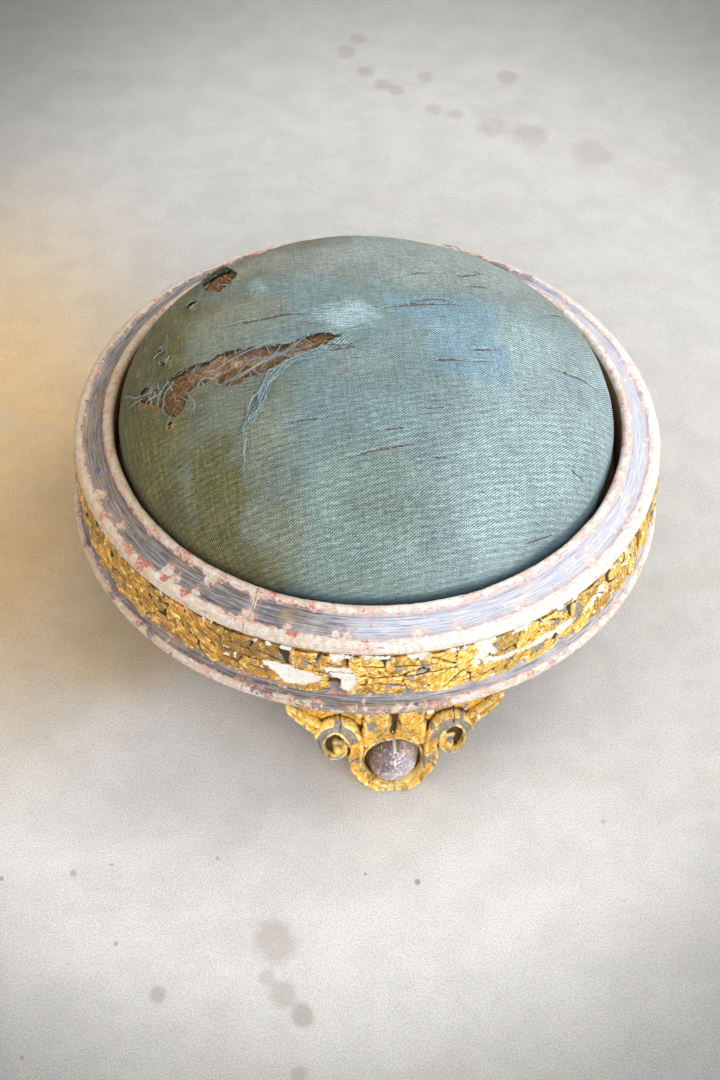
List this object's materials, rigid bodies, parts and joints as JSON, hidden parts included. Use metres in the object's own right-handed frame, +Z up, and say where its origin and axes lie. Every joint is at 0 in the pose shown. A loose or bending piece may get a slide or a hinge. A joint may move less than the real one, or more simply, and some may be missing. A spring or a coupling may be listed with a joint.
{
  "type": "footstool",
  "caption": "Round giltwood footstool: a moulded ring with leaf frieze on carved scroll feet, and a loose domed pad in worn teal cloth.",
  "frame": {"origin": "on the floor, under the axis of the round frame", "axes": "+Z up, -Y towards the front foot, +X to the right seen from the front"},
  "size_m": [0.392, 0.3966, 0.206],
  "materials": {
    "frame_gesso": "worn gesso and slate-grey bole on wood, matt with rubbed gilding",
    "leaf_gilding": "ochre gilding on carved leaves, chipped to white gesso",
    "foot_gilding": "ochre gilding with slate-grey hollows and a silvered boss",
    "rail_wood": "bare beech, planed",
    "dowel_wood": "bare beech",
    "jute_webbing": "plain woven jute",
    "hessian_cloth": "open plain-woven hessian",
    "stuffing_hair": "curled brown hair",
    "wadding_fibre": "matted brown fibre",
    "teal_cloth": "worn teal ribbed cloth, torn and frayed",
    "tack_iron": "blued cut tacks"
  },
  "bodies": {
    "frame": {"upper_felloe_1": "frame_gesso", "upper_felloe_2": "frame_gesso", "upper_felloe_3": "frame_gesso", "upper_felloe_4": "frame_gesso", "lower_felloe_1": "frame_gesso", "lower_felloe_2": "frame_gesso", "lower_felloe_3": "frame_gesso", "felloe_end_dowels": "dowel_wood", "course_dowels": "dowel_wood", "leaf_garland_1": "leaf_gilding", "leaf_garland_2": "leaf_gilding", "leaf_garland_3": "leaf_gilding", "leaf_garland_4": "leaf_gilding", "foot_1": "foot_gilding", "foot_2": "foot_gilding", "foot_3": "foot_gilding", "foot_dowels": "dowel_wood"},
    "pad": {"pad_rail_1": "rail_wood", "pad_rail_2": "rail_wood", "pad_rail_3": "rail_wood", "pad_rail_4": "rail_wood", "pad_rail_dowels": "dowel_wood", "webbing_across_1": "jute_webbing", "webbing_across_2": "jute_webbing", "webbing_across_3": "jute_webbing", "webbing_along_1": "jute_webbing", "webbing_along_2": "jute_webbing", "webbing_along_3": "jute_webbing", "web_tacks": "tack_iron", "hessian": "hessian_cloth", "hair_stuffing": "stuffing_hair", "wadding": "wadding_fibre", "top_cover": "teal_cloth", "cover_tacks": "tack_iron"}
  },
  "joints": [
    {"name": "pad_lift", "type": "slide", "parent": "frame", "child": "pad", "axis": [0, 0, 1], "range_m": [0, 0.09]}
  ]
}
